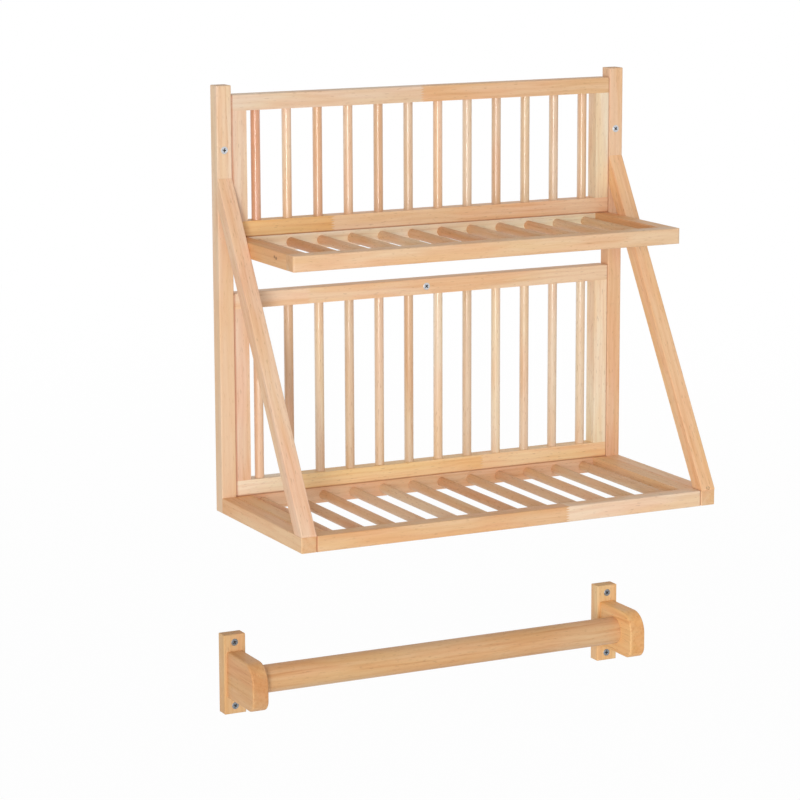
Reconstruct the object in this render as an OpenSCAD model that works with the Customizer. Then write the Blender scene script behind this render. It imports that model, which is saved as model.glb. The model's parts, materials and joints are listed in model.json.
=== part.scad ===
// Wall plate rack of square bars and round dowels, with the hanging rail of its set below it.
// The wall is the plane y = 0 and the rack stands out of it along -y. The origin is on the axis
// of the middle wall screw, where that screw leaves the back of the rack.

/* [Rack] */
// Width of the rack over its two posts
rack_w = 580; // [400:1:900]
// Height of the rack at its posts
rack_h = 540; // [520:1:800]
// Side of the square bars of the frames, shelves, posts and braces
bar = 20; // [16:0.5:24]
// Radius of the eased long edges of the bars
ease_r = 1.5; // [0.5:0.1:3]
// Radius of the outer corners of the frames and shelves, seen square on
corner_r = 3; // [1:0.5:6]
// Height of the lower back frame
lower_frame_h = 260; // [200:1:300]
// Height of the upper back frame
upper_frame_h = 178; // [120:1:220]
// How far the posts stand above the upper back frame
post_above = 12; // [4:1:30]
// Depth of the lower shelf from the wall
lower_shelf_d = 260; // [220:1:320]
// Depth of the upper shelf from the wall
upper_shelf_d = 200; // [120:1:260]

/* [Braces] */
// Height above the underside at which a brace's front meets its post
brace_top = 425; // [370:1:450]
// Upright height of the blunt toe at the foot of a brace
toe_h = 2.5; // [2.5:0.5:6]

/* [Dowels] */
// Diameter of the round dowels
dowel_d = 12; // [8:0.5:16]
// Open gap between a stile or side rail and the dowel next to it
end_gap = 10; // [6:0.5:30]
// Number of dowels in each frame and each shelf
dowel_count = 12; // [4:1:12]
// Depth of the blind sockets that the dowel ends sit in
socket_deep = 8; // [4:0.5:10]

/* [Pegs] */
// Diameter of the hidden wooden pegs in the joints
peg_d = 6; // [4:0.5:8]
// Length of a peg between two bars
peg_l = 24; // [16:1:28]
// Length of a short peg behind a brace or an arm, where the wood is thinner
short_peg_l = 18; // [12:1:20]
// Diameter of the plug that fills the pin hole in the right brace's toe
plug_d = 4; // [3:0.5:4]
// Wood left between that plug and the peg behind it
plug_wall = 3; // [2:0.5:6]

/* [Wall screws] */
// Diameter of a screw's plain shank, in the wood
shank_d = 4; // [3:0.1:5]
// Mean diameter of the threaded end, in the wall
thread_d = 3.6; // [2.6:0.1:4]
// How far each screw stands out of the back
screw_out = 15; // [10:1:60]
// Length of the pointed tip
tip_l = 3; // [1:0.5:5]
// Diameter of a screw's countersunk head
head_d = 9.5; // [7:0.5:12]
// Height of that head, from its flat face to the shank
head_h = 2.7; // [2:0.1:4]
// Width of the cross recess in the head
cross_w = 1.1; // [0.6:0.1:1.6]
// Length of the cross recess across the head
cross_l = 5; // [3:0.1:6.5]
// Depth of the cross recess
cross_deep = 1.6; // [0.8:0.1:2]
// Height of the two side screws above the underside
side_screw_h = 460; // [440:1:500]

/* [Rail] */
// Length of the rail over its two wall plates
rail_w = 580; // [300:1:900]
// Open height between the rack's underside and the rail's plates
rail_drop = 160; // [40:1:300]
// Depth of the rail from the wall to the nose of its arms
rail_d = 100; // [80:1:140]
// Width of a wall plate
plate_w = 30; // [24:0.5:40]
// Height of a wall plate
plate_h = 105; // [95:1:140]
// Thickness of a wall plate
plate_t = 18; // [12:0.5:20]
// Distance of a plate's screws from its ends
plate_screw_in = 10.5; // [8:0.5:14]
// Width of an arm
arm_w = 22; // [18:0.5:24]
// Height of an arm
arm_h = 61; // [50:0.5:70]
// Distance from a plate's top down to its arm
arm_down = 22; // [18:0.5:30]
// Radius of the arm's nose at the top
nose_top_r = 27; // [6:0.5:30]
// Radius of the arm's nose at the bottom
nose_low_r = 15; // [6:0.5:20]
// Radius of the eased edges of an arm
arm_ease_r = 2.5; // [0.5:0.1:4]
// Diameter of the round rod
rod_d = 36; // [20:0.5:40]
// Distance from the wall to the middle of the rod
rod_out = 55; // [50:0.5:60]
// Depth of the blind seat in each arm that holds the rod
rod_seat = 12; // [6:0.5:16]

/* [Hidden] */
$fn = 64;
// Gap round a dowel, peg or plug in its hole
fit_gap = 0.05;
// Gap round the rod in its seats, so that it turns
turn_gap = 0.08;
// Gap at each end of the rod
rod_end_gap = 0.3;
// Gap round a screw in its hole
screw_gap = 0.2;
// How far every cut runs past the face it opens
over = 1;

// Heights, from the middle screw in the lower back frame's top rail
underside = bar / 2 - bar - lower_frame_h;
lower_shelf_top = underside + bar;
lower_frame_top = lower_shelf_top + lower_frame_h;
rack_top = underside + rack_h;
upper_frame_top = rack_top - post_above;
upper_shelf_top = upper_frame_top - upper_frame_h;
upper_shelf_foot = upper_shelf_top - bar;

// Sideways places
frame_w = rack_w - 2 * bar;
post_x = rack_w / 2 - bar / 2;
joint_x = frame_w / 2;
stile_x = frame_w / 2 - bar / 2;
mid_y = -bar / 2;

// Dowels, spread evenly over the clear width of the frames and shelves
pitch = (frame_w - 2 * bar - 2 * end_gap - dowel_d) / (dowel_count - 1);
function dowel_x(i) = (i - (dowel_count + 1) / 2) * pitch;

// Braces
brace_run = lower_shelf_d - bar;
brace_rise = underside + brace_top - (lower_shelf_top + toe_h);
brace_lean = atan(brace_run / brace_rise);
brace_len = norm([brace_run, brace_rise]);
brace_level_w = bar / cos(brace_lean);
// y of the middle of a brace at height z
function brace_y(z) = brace_level_w / 2 - bar - (underside + brace_top - z) * tan(brace_lean);
seat_low = underside + brace_top - bar / sin(brace_lean);

// Rail
plate_x = rail_w / 2 - plate_w / 2;
plate_top = underside - rail_drop;
plate_foot = plate_top - plate_h;
arm_top = plate_top - arm_down;
rod_z = arm_top - arm_h / 2;
rod_len = rail_w - plate_w - arm_w + 2 * rod_seat - 2 * rod_end_gap;

// Shares that place the pegs along the pieces that they join
peg_shares = [0.25, 0.75];
brace_peg_share = 0.27;
// Pegs that would cross in one bar pass each other by this much, up or down
peg_pass = bar / 4;
// The upper half of a toe peg is centred in the leaning brace at this height
toe_peg_mid = lower_shelf_top + short_peg_l / 4;
plug_l = lower_shelf_d + brace_y(toe_peg_mid) - peg_d / 2 - plug_wall;

// Each peg is its middle, its direction and its length
function turned(list) = [for (p = list, side = [-1, 1]) [[side * p[0][0], p[0][1], p[0][2]], p[1], p[2]]];

function frame_pegs(foot, height) = turned(concat(
    [[[stile_x, mid_y, foot + bar], "z", peg_l]],
    [[[stile_x, mid_y, foot + height - bar], "z", peg_l]],
    [for (s = peg_shares) [[joint_x, mid_y, foot + bar + s * (height - 2 * bar)], "x", peg_l]]));

function shelf_pegs(foot, depth) = turned(
    [for (y = [bar, depth - bar]) [[stile_x, -y, foot + bar / 2 - peg_pass], "y", peg_l]]);

function upper_hold_pegs() = let (z = upper_shelf_foot + bar / 2 + peg_pass) turned([
    [[joint_x, mid_y, z], "x", peg_l],
    [[joint_x, brace_y(z), z], "x", peg_l]]);

function lower_hold_pegs() = turned(
    [for (s = peg_shares) [[joint_x, -s * lower_shelf_d, underside + bar / 2 + peg_pass], "x", peg_l]]);

function side_pegs() = let (z = seat_low + brace_peg_share * (underside + brace_top - seat_low)) turned([
    [[post_x, -bar, underside + bar / 2], "y", peg_l],
    [[post_x, -bar, z], "y", short_peg_l],
    [[post_x, brace_y(toe_peg_mid), lower_shelf_top], "z", short_peg_l]]);

function arm_pegs() = turned(
    [for (s = peg_shares) [[plate_x, -plate_t, arm_top - s * arm_h], "y", short_peg_l]]);

function upper_frame_pegs() = frame_pegs(upper_shelf_top, upper_frame_h);
function lower_frame_pegs() = frame_pegs(lower_shelf_top, lower_frame_h);
function upper_shelf_pegs() = concat(shelf_pegs(upper_shelf_foot, upper_shelf_d), upper_hold_pegs());
function lower_shelf_pegs() = concat(shelf_pegs(underside, lower_shelf_d), lower_hold_pegs());
function upright_pegs() = concat(side_pegs(), upper_frame_pegs(), lower_frame_pegs(),
    upper_hold_pegs(), lower_hold_pegs());

function numbered(stem) = [for (i = [1:dowel_count]) str(stem, i)];

// Shapes that repeat

// A rectangle from the origin with rounded corners
module round_rect(w, h, r) {
    translate([r, 0]) square([w - 2 * r, h]);
    translate([0, r]) square([w, h - 2 * r]);
    for (x = [r, w - r], y = [r, h - r]) translate([x, y]) circle(r);
}

// A block from the origin, its edges rounded by one radius each way: along x, y and z
module soft_block(size, rx, ry, rz) {
    intersection() {
        linear_extrude(size[2]) round_rect(size[0], size[1], rz);
        rotate([90, 0, 90]) linear_extrude(size[0]) round_rect(size[1], size[2], rx);
        translate([0, size[1], 0]) rotate([90, 0, 0]) linear_extrude(size[1])
            round_rect(size[0], size[2], ry);
    }
}

// What lies between two corners
module between(low, high) {
    translate(low) cube(high - low);
}

// Everything of the rack between two heights
module slab(low, high) {
    between([-rack_w / 2 - over, -lower_shelf_d - over, low], [rack_w / 2 + over, over, high]);
}

// A round bar with its middle at a place
module round_at(place, along, length, d) {
    turn = along == "x" ? [0, 90, 0] : along == "y" ? [90, 0, 0] : [0, 0, 0];
    translate(place) rotate(turn) cylinder(h = length, d = d, center = true);
}

module pegs(list) {
    for (p = list) round_at(p[0], p[1], p[2], peg_d);
}

module peg_holes(list) {
    for (p = list) round_at(p[0], p[1], p[2] + 2 * fit_gap, peg_d + 2 * fit_gap);
}

// A countersunk wall screw through wood of this thickness, its head flush with the front
module screw(x, z, wood) {
    translate([x, -wood, z]) rotate([-90, 0, 0]) difference() {
        union() {
            cylinder(h = head_h, d1 = head_d, d2 = shank_d);
            cylinder(h = wood, d = shank_d);
            translate([0, 0, wood]) cylinder(h = screw_out - tip_l, d = thread_d);
            translate([0, 0, wood + screw_out - tip_l]) cylinder(h = tip_l, d1 = thread_d, d2 = 0);
        }
        for (a = [45, 135]) rotate(a)
            translate([-cross_l / 2, -cross_w / 2, -over]) cube([cross_l, cross_w, cross_deep + over]);
    }
}

module screw_hole(x, z, wood) {
    translate([x, -wood, z]) rotate([-90, 0, 0]) {
        cylinder(h = head_h, d1 = head_d + 2 * screw_gap, d2 = shank_d + 2 * screw_gap);
        translate([0, 0, -over]) cylinder(h = over, d = head_d + 2 * screw_gap);
        cylinder(h = wood + over, d = shank_d + 2 * screw_gap);
    }
}

// Back frames, seen from the front

module frame_block(foot, height) {
    translate([-frame_w / 2, -bar, foot]) soft_block([frame_w, bar, height], ease_r, corner_r, ease_r);
}

// A rail of a back frame: the part of its block between two heights
module frame_rail(foot, height, low, list) {
    difference() {
        intersection() {
            frame_block(foot, height);
            slab(low, low + bar);
        }
        peg_holes(list);
        for (i = [1:dowel_count]) frame_dowel(i, foot, height, fit_gap);
    }
}

module frame_stile(side, foot, height, list) {
    x = side * stile_x;
    difference() {
        intersection() {
            frame_block(foot, height);
            between([x - bar / 2, -bar - over, foot + bar], [x + bar / 2, over, foot + height - bar]);
        }
        peg_holes(list);
    }
}

// An upright dowel of a back frame, grown by a gap to cut its two sockets
module frame_dowel(i, foot, height, gap = 0) {
    round_at([dowel_x(i), mid_y, foot + height / 2], "z",
        height - 2 * bar + 2 * socket_deep + 2 * gap, dowel_d + 2 * gap);
}

// Shelves, seen from above

module shelf_block(foot, depth) {
    translate([-frame_w / 2, -depth, foot]) soft_block([frame_w, depth, bar], ease_r, ease_r, corner_r);
}

// The front or back rail of a shelf: the part of its block in front of a depth
module shelf_rail(foot, depth, front, list) {
    difference() {
        intersection() {
            shelf_block(foot, depth);
            between([-frame_w / 2 - over, -front, foot - over],
                [frame_w / 2 + over, bar - front, foot + bar + over]);
        }
        peg_holes(list);
        for (i = [1:dowel_count]) shelf_dowel(i, foot, depth, fit_gap);
    }
}

module shelf_side(side, foot, depth, list) {
    x = side * stile_x;
    difference() {
        intersection() {
            shelf_block(foot, depth);
            between([x - bar / 2, bar - depth, foot - over], [x + bar / 2, -bar, foot + bar + over]);
        }
        peg_holes(list);
    }
}

// A level dowel of a shelf, grown by a gap to cut its two sockets
module shelf_dowel(i, foot, depth, gap = 0) {
    round_at([dowel_x(i), -depth / 2, foot + bar / 2], "y",
        depth - 2 * bar + 2 * socket_deep + 2 * gap, dowel_d + 2 * gap);
}

// Posts, base rails and braces

module post_block(side) {
    translate([side * post_x - bar / 2, -bar, underside])
        soft_block([bar, bar, rack_h], ease_r, ease_r, ease_r);
}

module base_block(side) {
    translate([side * post_x - bar / 2, -lower_shelf_d, underside])
        soft_block([bar, lower_shelf_d, bar], ease_r, ease_r, ease_r);
}

// The post runs down to the underside, where the base rail ends square against its front
module post(side) {
    difference() {
        union() {
            post_block(side);
            intersection() {
                base_block(side);
                between([-rack_w / 2 - over, -bar, underside - over], [rack_w / 2 + over, over, lower_shelf_top]);
            }
        }
        peg_holes(upright_pegs());
        screw_hole(side * post_x, underside + side_screw_h, bar);
    }
}

module base_rail(side) {
    difference() {
        intersection() {
            base_block(side);
            between([-rack_w / 2 - over, -lower_shelf_d - over, underside - over],
                [rack_w / 2 + over, -bar, lower_shelf_top + over]);
        }
        peg_holes(upright_pegs());
    }
}

// A leaning bar, cut upright against the post and level on the base rail, with a blunt toe
module brace_bar(side) {
    intersection() {
        translate([side * post_x - bar / 2, -lower_shelf_d, lower_shelf_top + toe_h])
            rotate([-brace_lean, 0, 0]) translate([0, 0, -bar])
                linear_extrude(brace_len + 2 * bar) round_rect(bar, bar, ease_r);
        between([-rack_w / 2 - over, -lower_shelf_d, lower_shelf_top], [rack_w / 2 + over, -bar, rack_top]);
    }
}

// The level hole in the right brace's toe, at the fold between its slope and its blunt end
module plug_cut(gap = 0) {
    translate([post_x, plug_l + gap - lower_shelf_d, lower_shelf_top + toe_h]) rotate([90, 0, 0])
        cylinder(h = plug_l + gap + over, d = plug_d + 2 * gap);
}

module left_post() color("burlywood") post(-1);
module right_post() color("burlywood") post(1);
module left_base_rail() color("wheat") base_rail(-1);
module right_base_rail() color("burlywood") base_rail(1);

module left_brace() color("wheat") difference() {
    brace_bar(-1);
    peg_holes(upright_pegs());
}

module right_brace() color("burlywood") difference() {
    brace_bar(1);
    peg_holes(upright_pegs());
    plug_cut(fit_gap);
}

module toe_plug() color("navajowhite") intersection() {
    brace_bar(1);
    plug_cut();
}

module upper_back_top_rail() color("wheat")
    frame_rail(upper_shelf_top, upper_frame_h, upper_frame_top - bar, upper_frame_pegs());
module upper_back_bottom_rail() color("wheat")
    frame_rail(upper_shelf_top, upper_frame_h, upper_shelf_top, upper_frame_pegs());
module upper_back_left_stile() color("burlywood")
    frame_stile(-1, upper_shelf_top, upper_frame_h, upper_frame_pegs());
module upper_back_right_stile() color("burlywood")
    frame_stile(1, upper_shelf_top, upper_frame_h, upper_frame_pegs());

module lower_back_top_rail() color("wheat") difference() {
    frame_rail(lower_shelf_top, lower_frame_h, lower_frame_top - bar, lower_frame_pegs());
    screw_hole(0, 0, bar);
}
module lower_back_bottom_rail() color("wheat")
    frame_rail(lower_shelf_top, lower_frame_h, lower_shelf_top, lower_frame_pegs());
module lower_back_left_stile() color("burlywood")
    frame_stile(-1, lower_shelf_top, lower_frame_h, lower_frame_pegs());
module lower_back_right_stile() color("burlywood")
    frame_stile(1, lower_shelf_top, lower_frame_h, lower_frame_pegs());

module upper_shelf_back_rail() color("tan")
    shelf_rail(upper_shelf_foot, upper_shelf_d, bar, upper_shelf_pegs());
module upper_shelf_front_rail() color("wheat")
    shelf_rail(upper_shelf_foot, upper_shelf_d, upper_shelf_d, upper_shelf_pegs());
module upper_shelf_left_rail() color("tan")
    shelf_side(-1, upper_shelf_foot, upper_shelf_d, upper_shelf_pegs());
module upper_shelf_right_rail() color("tan")
    shelf_side(1, upper_shelf_foot, upper_shelf_d, upper_shelf_pegs());

module lower_shelf_back_rail() color("tan")
    shelf_rail(underside, lower_shelf_d, bar, lower_shelf_pegs());
module lower_shelf_front_rail() color("wheat")
    shelf_rail(underside, lower_shelf_d, lower_shelf_d, lower_shelf_pegs());
module lower_shelf_left_rail() color("tan")
    shelf_side(-1, underside, lower_shelf_d, lower_shelf_pegs());
module lower_shelf_right_rail() color("tan")
    shelf_side(1, underside, lower_shelf_d, lower_shelf_pegs());

module upper_shelf_dowels() color("peru")
    for (i = [1:dowel_count]) shelf_dowel(i, upper_shelf_foot, upper_shelf_d);
module lower_shelf_dowels() color("peru")
    for (i = [1:dowel_count]) shelf_dowel(i, underside, lower_shelf_d);
module upper_back_dowel(i) color("sandybrown") frame_dowel(i, upper_shelf_top, upper_frame_h);
module lower_back_dowel(i) color("sandybrown") frame_dowel(i, lower_shelf_top, lower_frame_h);

module joint_pegs() color("peru") pegs(concat(side_pegs(), upper_frame_pegs(), lower_frame_pegs(),
    upper_shelf_pegs(), lower_shelf_pegs()));

module wall_screws() color("lightgray") {
    screw(0, 0, bar);
    for (side = [-1, 1]) screw(side * post_x, underside + side_screw_h, bar);
}

// The hanging rail

module wall_plate(side) {
    difference() {
        translate([side * plate_x - plate_w / 2, -plate_t, plate_foot])
            soft_block([plate_w, plate_t, plate_h], ease_r, ease_r, ease_r);
        for (z = [plate_foot + plate_screw_in, plate_top - plate_screw_in])
            screw_hole(side * plate_x, z, plate_t);
        peg_holes(arm_pegs());
    }
}

// A bar of an arm, straight out of its plate from the origin, its long edges eased
module arm_bar(length, height) {
    rotate([90, 0, 0]) linear_extrude(length) round_rect(arm_w, height, arm_ease_r);
}

// A quarter of a disc as wide as an arm, its rim eased, from the middle of the curve
module nose_quarter(r, turn) {
    rotate([0, 90, 0]) rotate(turn) rotate_extrude(angle = 90) intersection() {
        translate([-r, 0]) round_rect(2 * r, arm_w, arm_ease_r);
        square([r, arm_w]);
    }
}

// An arm from the origin at its foot on the plate: square at the plate, with a rounded nose
module arm_block() {
    reach = rail_d - plate_t;
    curve_foot = arm_h - nose_top_r;
    arm_bar(reach - nose_low_r, curve_foot);
    translate([0, 0, nose_low_r]) arm_bar(reach - nose_top_r, arm_h - nose_low_r);
    translate([0, -reach, nose_low_r]) linear_extrude(curve_foot - nose_low_r)
        round_rect(arm_w, reach, arm_ease_r);
    translate([0, nose_top_r - reach, curve_foot]) nose_quarter(nose_top_r, 180);
    translate([0, nose_low_r - reach, nose_low_r]) nose_quarter(nose_low_r, 270);
}

module arm(side) {
    difference() {
        translate([side * plate_x - arm_w / 2, -plate_t, arm_top - arm_h]) arm_block();
        round_at([0, -rod_out, rod_z], "x", rod_len + 2 * rod_end_gap, rod_d + 2 * turn_gap);
        peg_holes(arm_pegs());
    }
}

module rail_left_plate() color("burlywood") wall_plate(-1);
module rail_right_plate() color("burlywood") wall_plate(1);
module rail_left_arm() color("tan") arm(-1);
module rail_right_arm() color("tan") arm(1);
module rail_rod() color("burlywood") round_at([0, -rod_out, rod_z], "x", rod_len, rod_d);
module rail_pegs() color("peru") pegs(arm_pegs());
module rail_wall_screws() color("silver")
    for (side = [-1, 1], z = [plate_foot + plate_screw_in, plate_top - plate_screw_in])
        screw(side * plate_x, z, plate_t);

left_post();
right_post();
left_base_rail();
right_base_rail();
left_brace();
right_brace();
toe_plug();
upper_back_top_rail();
upper_back_bottom_rail();
upper_back_left_stile();
upper_back_right_stile();
lower_back_top_rail();
lower_back_bottom_rail();
lower_back_left_stile();
lower_back_right_stile();
upper_shelf_back_rail();
upper_shelf_front_rail();
upper_shelf_left_rail();
upper_shelf_right_rail();
lower_shelf_back_rail();
lower_shelf_front_rail();
lower_shelf_left_rail();
lower_shelf_right_rail();
upper_shelf_dowels();
lower_shelf_dowels();
joint_pegs();
wall_screws();
rail_left_plate();
rail_right_plate();
rail_left_arm();
rail_right_arm();
rail_rod();
rail_pegs();
rail_wall_screws();
for (i = [1:dowel_count]) {
    upper_back_dowel(i);
    lower_back_dowel(i);
}
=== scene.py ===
# The look of the wall plate rack and of the hanging rail that belongs to it. The turned and planed
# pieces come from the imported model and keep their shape: this script gives them their wood, makes the
# screws with their recesses and threads, and sets the light, the floor and the camera.
# Lengths are in metres, and the wall is the plane y = 0.

import json
import math
from collections import namedtuple

import bpy
from mathutils import Matrix, Vector


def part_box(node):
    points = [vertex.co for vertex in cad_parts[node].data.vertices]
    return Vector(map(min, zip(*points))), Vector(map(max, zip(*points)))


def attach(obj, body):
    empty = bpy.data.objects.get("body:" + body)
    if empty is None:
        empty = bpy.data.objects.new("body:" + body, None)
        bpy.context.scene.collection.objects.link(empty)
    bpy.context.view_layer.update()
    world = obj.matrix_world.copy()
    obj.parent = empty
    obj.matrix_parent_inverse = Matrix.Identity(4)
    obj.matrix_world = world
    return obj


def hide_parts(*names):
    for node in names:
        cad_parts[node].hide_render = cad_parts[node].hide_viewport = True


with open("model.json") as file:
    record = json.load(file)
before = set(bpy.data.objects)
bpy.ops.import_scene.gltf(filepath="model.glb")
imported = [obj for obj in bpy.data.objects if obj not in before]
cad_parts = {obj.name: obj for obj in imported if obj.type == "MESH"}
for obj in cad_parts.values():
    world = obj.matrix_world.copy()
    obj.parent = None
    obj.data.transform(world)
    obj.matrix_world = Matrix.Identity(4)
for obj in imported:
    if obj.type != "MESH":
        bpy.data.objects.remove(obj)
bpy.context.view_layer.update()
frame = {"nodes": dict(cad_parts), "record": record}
nodes = frame["nodes"]


# Shader maths

class Field:
    """A value, colour or vector that varies over a surface: one output of a shader node."""

    def __init__(self, shader, socket):
        self.shader = shader
        self.socket = socket

    def __add__(self, other):
        return self.shader.maths("ADD", self, other)

    def __radd__(self, other):
        return self.shader.maths("ADD", other, self)

    def __sub__(self, other):
        return self.shader.maths("SUBTRACT", self, other)

    def __rsub__(self, other):
        return self.shader.maths("SUBTRACT", other, self)

    def __mul__(self, other):
        return self.shader.maths("MULTIPLY", self, other)

    def __rmul__(self, other):
        return self.shader.maths("MULTIPLY", other, self)

    def __gt__(self, other):
        return self.shader.maths("GREATER_THAN", self, other)

    def __abs__(self):
        return self.shader.maths("ABSOLUTE", self)

    def step(self, low, high):
        """0 below low, 1 above high, and smooth between them."""
        return self.shader.node(
            "MapRange",
            {"interpolation_type": "SMOOTHSTEP"},
            {"Value": self, "From Min": low, "From Max": high},
        )

    def along(self, direction):
        """How far this vector reaches along a direction."""
        return self.shader.node(
            "VectorMath", {"operation": "DOT_PRODUCT"}, {0: self, 1: direction}, "Value"
        )

    def from_point(self, point):
        """How far this vector's end is from a point."""
        return self.shader.node(
            "VectorMath", {"operation": "DISTANCE"}, {0: self, 1: point}, "Value"
        )

    def scaled(self, times):
        """This vector, so many times as long."""
        return self.shader.node("VectorMath", {"operation": "SCALE"}, {0: self, "Scale": times})


class Shader:
    """The nodes of a material, or of the world, while they are made."""

    def __init__(self, holder):
        self.material = holder
        holder.use_nodes = True
        self.tree = holder.node_tree
        self.tree.nodes.clear()

    def node(self, kind, settings, inputs, output=0):
        made = self.tree.nodes.new("ShaderNode" + kind)
        for key, value in settings.items():
            setattr(made, key, value)
        for key, value in inputs.items():
            if isinstance(value, Field):
                self.tree.links.new(value.socket, made.inputs[key])
            else:
                made.inputs[key].default_value = value
        return Field(self, made.outputs[output]) if len(made.outputs) else None

    def maths(self, operation, *values):
        return self.node("Math", {"operation": operation}, dict(enumerate(values)))

    def place(self):
        return self.node("TexCoord", {}, {}, "Object")

    def facing(self):
        return self.node("TexCoord", {}, {}, "Normal")

    def vector(self, x, y, z):
        return self.node("CombineXYZ", {}, {0: x, 1: y, 2: z})

    def noise(self, vector, detail=2.0, rough=0.5):
        return self.node(
            "TexNoise", {}, {"Vector": vector, "Scale": 1.0, "Detail": detail, "Roughness": rough}
        )

    def chance(self, number):
        """A random value from 0 to 1 for each whole number."""
        return self.node("TexWhiteNoise", {"noise_dimensions": "1D"}, {"W": number})

    def mix(self, share, first, second, how="MIX"):
        return self.node(
            "Mix", {"data_type": "RGBA", "blend_type": how}, {0: share, 6: first, 7: second}, 2
        )

    def bump(self, height, strength, reach):
        return self.node("Bump", {}, {"Height": height, "Strength": strength, "Distance": reach})

    def finish(self, **sockets):
        """The surface itself, from its sockets by name with _ for a space."""
        self.end(self.node(
            "BsdfPrincipled", {}, {key.replace("_", " "): value for key, value in sockets.items()}
        ))
        return self.material

    def end(self, surface):
        self.node("OutputMaterial", {}, {"Surface": surface})


def paint(red, green, blue):
    """A colour from its screen values, 0 to 255."""
    linear = []
    for value in (red, green, blue):
        share = value / 255
        linear.append(share / 12.92 if share <= 0.04045 else ((share + 0.055) / 1.055) ** 2.4)
    return (*linear, 1.0)


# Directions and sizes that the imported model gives

ORIGIN = Vector((0, 0, 0))
LONG_X = Vector((1, 0, 0))
LONG_Y = Vector((0, 1, 0))
LONG_Z = Vector((0, 0, 1))


def low_corner(name):
    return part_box(name)[0]


def high_corner(name):
    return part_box(name)[1]


def middle(name):
    return (low_corner(name) + high_corner(name)) / 2


# A brace leans back to its post from the top of its toe, which is a low upright face at the front
TOE_HEIGHT = 0.0025
brace_reach = high_corner("left_brace") - low_corner("left_brace")
LONG_BRACE = Vector((0, brace_reach.y, brace_reach.z - TOE_HEIGHT)).normalized()

# The upright dowels of each back frame, and from one dowel's middle to the next
DOWELS = 12
DOWEL_PITCH = middle("upper_back_dowel_2").x - middle("upper_back_dowel_1").x

# How far the bars at the wall and the hanging rail's plates stand out from it, and how far the screws
# reach into it
BAR_DEPTH = -low_corner("left_post").y
PLATE_DEPTH = -low_corner("rail_left_plate").y
IN_WALL = high_corner("wall_screws").y
MOUNTS = {mount["name"]: mount["pos_m"] for mount in frame["record"]["mounts"]}


# Wood: its colours and patterns

SUMMERWOOD = paint(236, 214, 190)
STREAKED = paint(228, 196, 164)
OPEN_PORE = paint(164, 118, 80)
ROSY = paint(255, 242, 236)
SANDY = paint(252, 247, 234)
SHADE = paint(226, 204, 182)
WARM = paint(244, 212, 184)
END_WOOD = paint(196, 148, 100)
KNOT = paint(112, 66, 34)
# Dark pores of cut ends, and the painted shade of the gap round the toe's plug
DARK_PORE_AND_SHADE = paint(92, 62, 40)
LOWER_POST_TINT = paint(232, 190, 146)
GLUE_LINE = paint(176, 100, 66)

# The waves of a pattern in a metre along the grain and across it, the detail and roughness of its
# noise, and the values at which it starts and is full
Pattern = namedtuple("Pattern", "along across detail rough start full")
BLOOM = Pattern(7.0, 34.0, 2.0, 0.5, 0.36, 0.66)
HAZE = Pattern(5.0, 46.0, 2.0, 0.5, 0.42, 0.62)
STREAK = Pattern(8.0, 260.0, 3.0, 0.6, 0.50, 0.72)
FIBRE = Pattern(38.0, 1500.0, 2.0, 0.5, 0.35, 0.80)
PORE = Pattern(110.0, 650.0, 1.0, 0.5, 0.62, 0.74)

# How strongly they colour the wood, roughen its lacquer and raise or sink its surface
FIBRE_SHARE = 0.25
PORE_SHARE = 0.30
FIBRE_ROUGH = 0.12
PORE_ROUGH = 0.15
FIBRE_HEIGHT = 0.5
STREAK_HEIGHT = 0.25
PORE_DEPTH = 0.9
RELIEF = 0.00012
RELIEF_STRENGTH = 0.35

# The rings of the years lie round a heart outside the bars. Bloom bends them and streaks ripple them
YEAR_RING = 0.0074
HEART_V = -0.031
HEART_W = 0.017
RING_BEND = 0.022
RING_RIPPLE = 0.0025
RING_START = -0.4
RING_FULL = 1.0

# A surface is a cut end where it faces nearly along the grain, and there the pores show as spots
END_START = 0.80
END_FULL = 0.95
END_SHARE = 0.25
END_ROUGH = 0.22
END_SLOW = 60.0
END_FAST = 260.0
END_PORE_START = 0.40
END_PORE_FULL = 0.65
END_PORE_SHARE = 0.25

# The fingers that join two lengths of wood are counted from a little below the middle wall screw. Their
# sides run 3.6 times as far along the grain as across it, and the splice is halfway along them
FINGER_PITCH = 0.0032
FINGER_START = 0.0008
FINGER_SLOPE = 3.6
FINGER_MIDDLE = 0.0029

# Where a glue line starts to fade beside a seam, and where it ends
GLUE_FADES = 0.0011
GLUE_ENDS = 0.0023
GLUE_SHARE = 0.58

# The part of a knot or stain that is dark all over
SPOT_CORE = 0.55

# How differently toned the dowels are
TONE_SHARE = 0.7
WARMTH_SHARE = 0.5
WARMTH_START = 0.5
# Keeps the random draws for the dowels' warmth apart from those for their tones
WARMTH_DRAW = 40.5

# How far apart in the noise two seeds, two jointed lengths or two dowels lie
SEED_SHIFT = 3.7
LENGTH_SHIFT = 5.3
TONE_SHIFT = 19.0
WARMTH_SHIFT = 7.0


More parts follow.
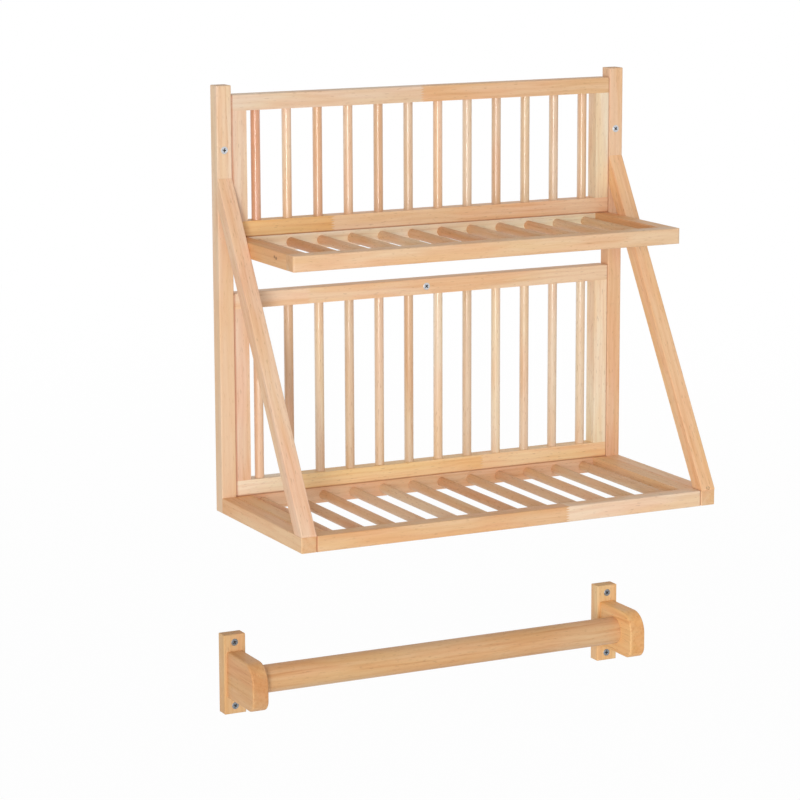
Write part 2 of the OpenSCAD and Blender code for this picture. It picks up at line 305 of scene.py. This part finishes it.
class Grain:
    """Where a point lies in the wood, u along the grain and v and w across it, and a shift that gives
    each piece of wood a pattern of its own."""

    def __init__(self, shader, direction, shift):
        side = LONG_X if abs(direction.x) < 0.5 else LONG_Z
        self.shader = shader
        self.place = shader.place()
        self.u = self.place.along(direction)
        self.v = self.place.along(side)
        self.w = self.place.along(direction.cross(side))
        self.shift = shift

    def jointed(self, tint, splices):
        """The tint all along, with another length of wood after each splice."""
        for start, next_tint in splices:
            height = self.place.along(LONG_Z) + FINGER_START
            comb = self.shader.maths("PINGPONG", height, FINGER_PITCH / 2)
            beyond = (self.u + comb * FINGER_SLOPE) > start + FINGER_MIDDLE
            self.shift = beyond * LENGTH_SHIFT + self.shift
            tint = self.shader.mix(beyond, tint, next_tint)
        return tint

    def one_by_one(self, seed):
        """A tone and a warmth for each dowel, from 0 to 1."""
        count = self.place.along(LONG_X) * (1 / DOWEL_PITCH) + 0.5
        number = self.shader.maths("ROUND", count) + seed
        tone = self.shader.chance(number)
        warmth = self.shader.chance(number + WARMTH_DRAW)
        self.shift = tone * TONE_SHIFT + warmth * WARMTH_SHIFT
        return tone, warmth

    def noise(self, pattern):
        """Noise that is drawn out along the grain."""
        point = self.shader.vector(
            self.u * pattern.along + self.shift,
            self.v * pattern.across + self.shift,
            self.w * pattern.across,
        )
        return self.shader.noise(point, pattern.detail, pattern.rough)

    def year_rings(self, bloom, streak):
        """From 0 to 1 and back in each year's ring."""
        across = self.shader.vector(0.0, self.v - HEART_V, self.w - HEART_W)
        from_heart = across.from_point(ORIGIN) + bloom * RING_BEND + streak * RING_RIPPLE
        wave = self.shader.maths("SINE", from_heart * (2 * math.pi / YEAR_RING))
        return wave.step(RING_START, RING_FULL)

    def cut_end(self, tint):
        """The colour of a cut end."""
        point = self.shader.vector(
            self.v * END_SLOW + self.shift, self.w * END_FAST, self.u * END_SLOW
        )
        pores = self.shader.noise(point).step(END_PORE_START, END_PORE_FULL)
        plain = self.shader.mix(1.0, tint, END_WOOD, "MULTIPLY")
        return self.shader.mix(pores * END_PORE_SHARE, plain, DARK_PORE_AND_SHADE)


def shown(pattern, noise):
    """How much of a pattern shows, from 0 to 1."""
    return noise.step(pattern.start, pattern.full)


def spotted(shader, place, colour, streak, spots):
    """The wood with its knots, its stains and the painted shade round the toe's plug, all of whose edges
    fray along the streaks.
    """
    for centre, radius, strength, dark in spots:
        frayed = place.from_point(centre) + (streak - 0.5) * radius
        near = 1.0 - frayed.step(radius * SPOT_CORE, radius)
        colour = shader.mix(near * strength, colour, dark)
    return colour


def glued(shader, place, colour, seams):
    """The wood with a line of glue along each seam."""
    for direction, seam in seams:
        near = 1.0 - abs(place.along(direction) - seam).step(GLUE_FADES, GLUE_ENDS)
        colour = shader.mix(near * GLUE_SHARE, colour, GLUE_LINE)
    return colour


def wood(name, direction, tint, seed, splices=(), spots=(), seams=(), dowels=False,
         streaks=0.3, figure=0.2, gloss=0.50, shine=0.10, polish=0.20):
    """Clear-lacquered pale hardwood with its grain along one direction. Splices are (place, tint) along
    the grain, where the next length is finger-jointed on. Spots are (middle, radius, strength, colour),
    and seams are (direction, place) where another bar is glued on."""
    shader = Shader(bpy.data.materials.new(name))
    grain = Grain(shader, direction, seed * SEED_SHIFT)
    tint = grain.jointed(tint, splices)
    if dowels:
        tone, warmth = grain.one_by_one(seed)

    bloom = grain.noise(BLOOM)
    haze = grain.noise(HAZE)
    streak = grain.noise(STREAK)
    fibre = grain.noise(FIBRE)
    pores = shown(PORE, grain.noise(PORE))
    rings = grain.year_rings(bloom, streak)
    cut = abs(shader.facing().along(direction)).step(END_START, END_FULL)

    colour = shader.mix(shown(BLOOM, bloom), tint, ROSY, "MULTIPLY")
    colour = shader.mix(shown(HAZE, haze), colour, SANDY, "MULTIPLY")
    colour = shader.mix(rings * figure, colour, SUMMERWOOD, "MULTIPLY")
    colour = shader.mix(shown(STREAK, streak) * streaks, colour, STREAKED, "MULTIPLY")
    colour = shader.mix(shown(FIBRE, fibre) * FIBRE_SHARE, colour, SHADE, "MULTIPLY")
    colour = shader.mix(pores * PORE_SHARE, colour, OPEN_PORE)
    if dowels:
        warm = warmth.step(WARMTH_START, 1.0)
        colour = shader.mix(tone * TONE_SHARE, colour, SHADE, "MULTIPLY")
        colour = shader.mix(warm * WARMTH_SHARE, colour, WARM, "MULTIPLY")
    colour = shader.mix(cut * END_SHARE, colour, grain.cut_end(tint))
    colour = spotted(shader, grain.place, colour, streak, spots)
    colour = glued(shader, grain.place, colour, seams)

    height = fibre * FIBRE_HEIGHT - pores * PORE_DEPTH + streak * STREAK_HEIGHT
    return shader.finish(
        Base_Color=colour,
        Roughness=gloss + fibre * FIBRE_ROUGH + cut * END_ROUGH + pores * PORE_ROUGH,
        Normal=shader.bump(height, RELIEF_STRENGTH, RELIEF),
        Coat_Weight=shine,
        Coat_Roughness=polish,
        Specular_IOR_Level=0.35,
    )


def dress(name, material):
    """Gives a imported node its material."""
    mesh = nodes[name].data
    mesh.materials.clear()
    mesh.materials.append(material)


# Bars

# The sides of the posts that face each other, where the frames and the lower shelf are glued on, and
# the tops of the shelves
BESIDE_POSTS = [(LONG_X, high_corner("left_post").x), (LONG_X, low_corner("right_post").x)]
ON_UPPER_SHELF = (LONG_Z, high_corner("upper_shelf_back_rail").z)
ON_LOWER_SHELF = (LONG_Z, high_corner("lower_shelf_back_rail").z)

# A darker stretch of the left post
post = middle("left_post")
DARKER_STRETCH = (Vector((post.x, post.y, -0.20)), 0.36, 0.5, LOWER_POST_TINT)

# Painted shade in the gap round the plug: a dark ring at the edge of its hole, on the front of the right
# brace
plug = middle("toe_plug")
PLUG_GAP_SHADE = (Vector((plug.x, low_corner("right_brace").y, plug.z)), 0.0031, 0.85, DARK_PORE_AND_SHADE)

# Two knots on the outer face of the upper shelf's left rail
knotty_face = low_corner("upper_shelf_left_rail").x
knotty_top = high_corner("upper_shelf_left_rail").z
KNOTS = [
    (Vector((knotty_face, -0.145, knotty_top - 0.0076)), 0.0026, 0.75, KNOT),
    (Vector((knotty_face, -0.150, knotty_top - 0.0088)), 0.0030, 0.80, KNOT),
]

# By the name of the bar: the direction of its grain, its tint, and what else its wood has
BARS = {
    "left_post": (LONG_Z, paint(239, 214, 188), {"spots": [DARKER_STRETCH]}),
    "right_post": (LONG_Z, paint(240, 203, 168), {}),
    "left_base_rail": (LONG_Y, paint(238, 199, 155), {}),
    "right_base_rail": (LONG_Y, paint(247, 212, 171), {}),
    "left_brace": (LONG_BRACE, paint(240, 207, 177), {}),
    "right_brace": (LONG_BRACE, paint(247, 209, 166), {"spots": [PLUG_GAP_SHADE]}),
    "upper_back_top_rail": (LONG_X, paint(233, 213, 190), {
        "splices": [(-0.0055, paint(233, 195, 155))],
        "seams": BESIDE_POSTS,
    }),
    "upper_back_bottom_rail": (LONG_X, paint(243, 204, 146), {
        "splices": [(-0.133, paint(246, 211, 175))],
        "seams": BESIDE_POSTS + [ON_UPPER_SHELF],
    }),
    "upper_back_left_stile": (LONG_Z, paint(236, 211, 187), {"seams": BESIDE_POSTS}),
    "upper_back_right_stile": (LONG_Z, paint(246, 230, 204), {"seams": BESIDE_POSTS}),
    "lower_back_top_rail": (LONG_X, paint(243, 214, 184), {
        "splices": [(-0.167, paint(241, 213, 180))],
        "seams": BESIDE_POSTS,
    }),
    # Its tints are the wood's own, made paler as painted light for the light that the lower shelf throws
    # back onto it
    "lower_back_bottom_rail": (LONG_X, paint(249, 235, 211), {
        "splices": [(-0.195, paint(255, 223, 172)), (0.081, paint(255, 226, 182))],
        "seams": BESIDE_POSTS + [ON_LOWER_SHELF],
    }),
    "lower_back_left_stile": (LONG_Z, paint(238, 209, 184), {"seams": BESIDE_POSTS}),
    "lower_back_right_stile": (LONG_Z, paint(251, 237, 210), {"seams": BESIDE_POSTS}),
    # Its tint is the wood's own, made nearly white as painted light against the shade that falls on it
    "upper_shelf_back_rail": (LONG_X, paint(250, 240, 218), {}),
    "upper_shelf_front_rail": (LONG_X, paint(235, 203, 166), {}),
    "upper_shelf_left_rail": (LONG_Y, paint(229, 180, 128), {"spots": KNOTS}),
    "upper_shelf_right_rail": (LONG_Y, paint(237, 193, 145), {}),
    "lower_shelf_back_rail": (LONG_X, paint(240, 200, 164), {}),
    "lower_shelf_front_rail": (LONG_X, paint(232, 193, 150), {
        "splices": [(0.075, paint(244, 219, 191))],
        "seams": BESIDE_POSTS,
    }),
    "lower_shelf_left_rail": (LONG_Y, paint(235, 193, 145), {}),
    "lower_shelf_right_rail": (LONG_Y, paint(244, 207, 165), {}),
    "rail_left_plate": (LONG_Z, paint(226, 186, 136), {"streaks": 0.4}),
    "rail_right_plate": (LONG_Z, paint(243, 209, 159), {"streaks": 0.4}),
    "rail_left_arm": (LONG_Y, paint(228, 182, 132), {"streaks": 0.45}),
    "rail_right_arm": (LONG_Y, paint(250, 205, 144), {"streaks": 0.45}),
    "rail_rod": (LONG_X, paint(225, 188, 144), {"streaks": 0.5}),
}
FIRST_SEED = 2.0
SEED_STEP = 1.37

for number, (name, (direction, tint, extra)) in enumerate(BARS.items()):
    seed = FIRST_SEED + number * SEED_STEP
    dress(name, wood("wood_" + name, direction, tint, seed, **extra))


# Dowels and pegs

FAINT_FIGURE = 0.12
TURNED = {"figure": FAINT_FIGURE, "gloss": 0.30, "shine": 0.80, "polish": 0.11}
upper_dowel_wood = wood(
    "wood_upright_dowels", LONG_Z, paint(241, 222, 197), seed=3.0, dowels=True, **TURNED
)
lower_dowel_wood = wood(
    "wood_lower_upright_dowels", LONG_Z, paint(242, 225, 200), seed=17.0, dowels=True, **TURNED
)
pink_dowel_wood = wood("wood_pink_dowel", LONG_Z, paint(226, 182, 154), seed=71.0, **TURNED)
level_dowel_wood = wood(
    "wood_level_dowels", LONG_Y, paint(240, 212, 178), seed=29.0, dowels=True,
    figure=FAINT_FIGURE, shine=0.15,
)
peg_wood = wood("wood_pegs", LONG_Y, paint(240, 212, 178), seed=51.0, gloss=0.6)

for number in range(1, DOWELS + 1):
    dress("upper_back_dowel_%d" % number, pink_dowel_wood if number == 1 else upper_dowel_wood)
    dress("lower_back_dowel_%d" % number, lower_dowel_wood)
for name in ("upper_shelf_dowels", "lower_shelf_dowels"):
    dress(name, level_dowel_wood)
for name in ("joint_pegs", "rail_pegs", "toe_plug"):
    dress(name, peg_wood)


# Steel of the screws

# Waves in a metre
CLOUD_WAVES = 900.0
RECESS_WAVES = 1500.0
SCUFF_WAVES_X = 5200.0
SCUFF_WAVES_Y = 700.0
SCUFF_WAVES_Z = 900.0
SCUFF_RELIEF = 0.00004


def zinc(name, light, dark):
    """Zinc plating, clouded and scuffed."""
    shader = Shader(bpy.data.materials.new(name))
    place = shader.place()
    cloud = shader.noise(place.scaled(CLOUD_WAVES), 3.0)
    scuff = shader.noise(shader.vector(
        place.along(LONG_X) * SCUFF_WAVES_X,
        place.along(LONG_Y) * SCUFF_WAVES_Y,
        place.along(LONG_Z) * SCUFF_WAVES_Z,
    ))
    return shader.finish(
        Base_Color=shader.mix(cloud.step(0.3, 0.7) * 0.5, light, dark),
        Metallic=1.0,
        Roughness=0.26 + cloud * 0.16 + scuff * 0.08,
        Normal=shader.bump(scuff, 0.15, SCUFF_RELIEF),
    )


def recess_steel():
    """Steel in the shade of a recess."""
    shader = Shader(bpy.data.materials.new("shaded_recess"))
    cloud = shader.noise(shader.place().scaled(RECESS_WAVES))
    return shader.finish(
        Base_Color=shader.mix(cloud, paint(58, 58, 60), paint(92, 92, 94)),
        Metallic=0.6,
        Roughness=0.5 + cloud * 0.2,
    )


# Shape of a screw, from the middle of its head along +z

HEAD_R = 0.00475
HEAD_EASE = 0.0004
HEAD_RIM = 0.0003
SHANK_R = 0.002
CONE_END = 0.0027

# The cross in the head, by the reach of its arms and half their width: at the top, at its mouth below
# the eased edge, and at its floor, which deepens to a point in the middle
ARM = 0.0029
HALF = 0.00072
MOUTH_ARM = ARM * 0.93
MOUTH_HALF = HALF * 0.90
MOUTH_DEPTH = 0.00012
FLOOR_ARM = ARM * 0.42
FLOOR_HALF = HALF * 0.62
FLOOR_DEPTH = 0.0018
POINT_R = 0.00002
POINT_DEPTH = 0.0021

# The shank ends a little inside the wood, and the thread starts before its end
SHANK_SHORT = 0.001
THREAD_EARLY = 0.002
THREAD_LOW = 0.00145
THREAD_HIGH = 0.00195
THREAD_PITCH = 0.0018
# Radii of the thread by the share of its pitch
THREAD_PROFILE = ((0.0, THREAD_LOW), (0.30, THREAD_LOW), (0.47, THREAD_HIGH), (0.64, THREAD_LOW))
THREAD_STEPS = 24
TIP = 0.004
TIP_THINNEST = 0.03

EIGHTH = math.pi / 4
QUARTER = math.pi / 2
# Points on an eighth of the head after the corner of the cross
ARC_POINTS = 4
# Stands in for a sine of 0, which can't be divided by
NEARLY_ZERO = 1e-6


def head_angles():
    """The angles of the points round the head, with one at each corner of the cross."""
    corner = math.atan2(HALF, ARM)
    arc = [corner + (EIGHTH - corner) * point / ARC_POINTS for point in range(1, ARC_POINTS + 1)]
    eighth = [0.0, corner] + arc
    quarter = eighth + [QUARTER - angle for angle in reversed(eighth[1:-1])]
    return [side * QUARTER + angle for side in range(4) for angle in quarter]


ANGLES = head_angles()


def circle(radius, z, turn):
    return [(radius * math.cos(angle + turn), radius * math.sin(angle + turn), z) for angle in ANGLES]


def cross(arm, half, z, turn):
    """The outline of the cross at one depth."""
    ring = []
    for angle in ANGLES:
        from_arm = abs((angle + EIGHTH) % QUARTER - EIGHTH)
        reach = min(arm / math.cos(from_arm), half / max(math.sin(from_arm), NEARLY_ZERO))
        ring.append((reach * math.cos(angle + turn), reach * math.sin(angle + turn), z))
    return ring


def loft(points, faces, rings):
    """Adds rings of points and the faces from each ring to the next."""
    start = len(points)
    around = len(rings[0])
    for ring in rings:
        points.extend(ring)
    for row in range(len(rings) - 1):
        for k in range(around):
            here = start + row * around + k
            beside = start + row * around + (k + 1) % around
            faces.append((here, beside, beside + around, here + around))


def thread(points, faces, thickness):
    """Adds the thread that winds through the back of the wood and narrows to the tip in the wall."""
    start = len(points)
    first = thickness - THREAD_EARLY
    last = thickness + IN_WALL
    count = int((last - first) / THREAD_PITCH * THREAD_STEPS)
    for step in range(count):
        angle = 2 * math.pi * step / THREAD_STEPS
        for share, radius in THREAD_PROFILE:
            z = min(first + THREAD_PITCH * (step / THREAD_STEPS + share), last)
            narrow = radius * min(1.0, max(TIP_THINNEST, (last - z) / TIP))
            points.append((narrow * math.cos(angle), narrow * math.sin(angle), z))
    wide = len(THREAD_PROFILE)
    for step in range(count - 1):
        for k in range(wide - 1):
            here = start + step * wide + k
            faces.append((here, here + wide, here + wide + 1, here + 1))
        if step < count - THREAD_STEPS - 1:
            end = start + step * wide + wide - 1
            next_turn = start + (step + THREAD_STEPS) * wide
            faces.append((end, end + wide, next_turn + wide, next_turn))


def screw_shape(thickness, turn):
    """A countersunk screw through wood of some thickness, with its cross at a turn. Gives its points,
    its faces and how many of the faces are in the recess."""
    points = []
    faces = []
    mouth = cross(MOUTH_ARM, MOUTH_HALF, MOUTH_DEPTH, turn)
    loft(points, faces, [
        circle(POINT_R, POINT_DEPTH, turn),
        cross(FLOOR_ARM, FLOOR_HALF, FLOOR_DEPTH, turn),
        mouth,
    ])
    in_recess = len(faces)
    loft(points, faces, [
        mouth,
        cross(ARM, HALF, 0.0, turn),
        circle(HEAD_R - HEAD_EASE, 0.0, turn),
        circle(HEAD_R, HEAD_RIM, turn),
        circle(SHANK_R, CONE_END, turn),
        circle(SHANK_R, thickness - SHANK_SHORT, turn),
    ])
    thread(points, faces, thickness)
    return points, faces, in_recess


def screws(name, replaced, plating, recess, thickness, turns):
    """Makes one piece of the screws that go through wood of one thickness. There is one at each mount
    that is named in turns, with its cross turned by that many degrees."""
    points = []
    faces = []
    slots = []
    for mount, turn in turns.items():
        mount_x, _, mount_z = MOUNTS[mount]
        made, sides, in_recess = screw_shape(thickness, math.radians(turn))
        start = len(points)
        points += [(mount_x + x, z - thickness, mount_z - y) for x, y, z in made]
        faces += [tuple(start + k for k in side) for side in sides]
        slots += [int(k < in_recess) for k in range(len(sides))]
    mesh = bpy.data.meshes.new(name)
    mesh.from_pydata(points, [], faces)
    mesh.materials.append(plating)
    mesh.materials.append(recess)
    for polygon, slot in zip(mesh.polygons, slots):
        polygon.material_index = slot
    mesh.validate()
    piece = bpy.data.objects.new(name, mesh)
    bpy.context.scene.collection.objects.link(piece)
    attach(piece, "rack")
    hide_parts(replaced)


shaded = recess_steel()
bright = zinc("bright_zinc", paint(216, 219, 223), paint(168, 172, 177))
dull = zinc("dull_zinc", paint(150, 156, 162), paint(112, 118, 124))
screws("rack_screws", "wall_screws", bright, shaded, BAR_DEPTH, {
    "middle_wall_screw": 52,
    "left_wall_screw": 12,
    "right_wall_screw": 38,
})
screws("hanging_rail_screws", "rail_wall_screws", dull, shaded, PLATE_DEPTH, {
    "rail_left_lower_screw": 30,
    "rail_left_upper_screw": 64,
    "rail_right_lower_screw": 8,
    "rail_right_upper_screw": 47,
})


# Floor and studio

WHITE = (1.0, 1.0, 1.0, 1.0)
FLOOR_GREY = (0.86, 0.86, 0.86, 1.0)
FLOOR_Z = -0.90
FLOOR_R = 7.0
FLOOR_SIDES = 64
# The camera sees a trace of the floor's grey below the rack, and none towards the rim
WHITE_SHARE = 0.975
GREY_FADES_R = 1.5
GREY_ENDS_R = FLOOR_R - 1.0
# Less light comes from above than from the walls, by how high its direction points, from 0 to 1
WALL_LIGHT = 0.68
LESS_ABOVE = 0.22
ABOVE = 0.8

LIGHT_AT = Vector((-2.45, -3.95, 0.15))
LIGHT_TARGET = Vector((0.0, -0.08, -0.10))
LIGHT_WIDTH = 0.8
LIGHT_HEIGHT = 2.0
LIGHT_WATTS = 101


def seen_white(shader):
    """1 for what the camera sees, by itself or in a reflection, and 0 for light that falls on something."""
    seen, mirrored, through = (
        shader.node("LightPath", {}, {}, ray)
        for ray in ("Is Camera Ray", "Is Glossy Ray", "Is Transmission Ray")
    )
    return shader.maths("MAXIMUM", shader.maths("MAXIMUM", seen, mirrored), through)


def floor_paint():
    """White from above. From underneath it is clear, so that it doesn't hide the undersides of the
    shelves."""
    shader = Shader(bpy.data.materials.new("pale_floor"))
    far = shader.place().from_point((0.0, 0.0, FLOOR_Z)).step(GREY_FADES_R, GREY_ENDS_R)
    white = seen_white(shader) * (WHITE_SHARE + far * (1.0 - WHITE_SHARE))
    plain = shader.node("BsdfDiffuse", {}, {"Color": FLOOR_GREY})
    glow = shader.node("Emission", {}, {"Color": WHITE, "Strength": 1.0})
    top = shader.node("MixShader", {}, {0: white, 1: plain, 2: glow})
    clear = shader.node("BsdfTransparent", {}, {})
    underneath = shader.node("NewGeometry", {}, {}, "Backfacing")
    shader.end(shader.node("MixShader", {}, {0: underneath, 1: top, 2: clear}))
    return shader.material


def lay_floor():
    """A wide round floor below the rack."""
    angles = [2 * math.pi * side / FLOOR_SIDES for side in range(FLOOR_SIDES)]
    rim = [(FLOOR_R * math.cos(angle), FLOOR_R * math.sin(angle), FLOOR_Z) for angle in angles]
    mesh = bpy.data.meshes.new("pale_floor")
    mesh.from_pydata(rim, [], [tuple(range(FLOOR_SIDES))])
    mesh.materials.append(floor_paint())
    floor = bpy.data.objects.new("pale_floor", mesh)
    bpy.context.scene.collection.objects.link(floor)


def build_studio():
    """White all round, as far as the camera sees."""
    world = bpy.data.worlds.new("studio")
    bpy.context.scene.world = world
    shader = Shader(world)
    rise = shader.node("TexCoord", {}, {}, "Generated").along(LONG_Z).step(0.0, ABOVE)
    ambient = WALL_LIGHT - rise * LESS_ABOVE
    strength = seen_white(shader) * (1.0 - ambient) + ambient
    back = shader.node("Background", {}, {"Color": WHITE, "Strength": strength})
    shader.node("OutputWorld", {}, {"Surface": back})


def hang_light():
    """A lamp with a broad face, turned to the middle of the rack."""
    lamp = bpy.data.lights.new("key_light", "AREA")
    lamp.shape = "RECTANGLE"
    lamp.size = LIGHT_WIDTH
    lamp.size_y = LIGHT_HEIGHT
    lamp.energy = LIGHT_WATTS
    light = bpy.data.objects.new("key_light", lamp)
    light.location = LIGHT_AT
    light.rotation_euler = (LIGHT_TARGET - LIGHT_AT).to_track_quat("-Z", "Y").to_euler()
    bpy.context.scene.collection.objects.link(light)


lay_floor()
build_studio()
hang_light()


# Camera

# It stands to the left of the rack and a little above its middle, and its angles are in degrees
CAMERA_AT = Vector((-1.7310, -3.4274, 0.5896))
TURNED_RIGHT = 26.407
TURNED_DOWN = 10.941
ROLLED = -0.2
LENS_MM = 134.88
SENSOR_MM = 36.0


def camera_turn():
    """The directions to the camera's right, up and back, as a turn."""
    aside, down, roll = (math.radians(angle) for angle in (TURNED_RIGHT, TURNED_DOWN, ROLLED))
    look = Vector((
        math.sin(aside) * math.cos(down),
        math.cos(aside) * math.cos(down),
        -math.sin(down),
    ))
    level_right = Vector((math.cos(aside), -math.sin(aside), 0.0))
    level_up = level_right.cross(look)
    right = math.cos(roll) * level_right + math.sin(roll) * level_up
    up = math.cos(roll) * level_up - math.sin(roll) * level_right
    return Matrix((right, up, -look)).transposed().to_4x4()


def stand_camera():
    lens = bpy.data.cameras.new("camera")
    lens.lens = LENS_MM
    lens.sensor_width = SENSOR_MM
    lens.clip_start = 0.1
    lens.clip_end = 60.0
    camera = bpy.data.objects.new("camera", lens)
    camera.matrix_world = Matrix.Translation(CAMERA_AT) @ camera_turn()
    bpy.context.scene.collection.objects.link(camera)
    bpy.context.scene.camera = camera


stand_camera()
bpy.context.scene.view_settings.view_transform = "Standard"
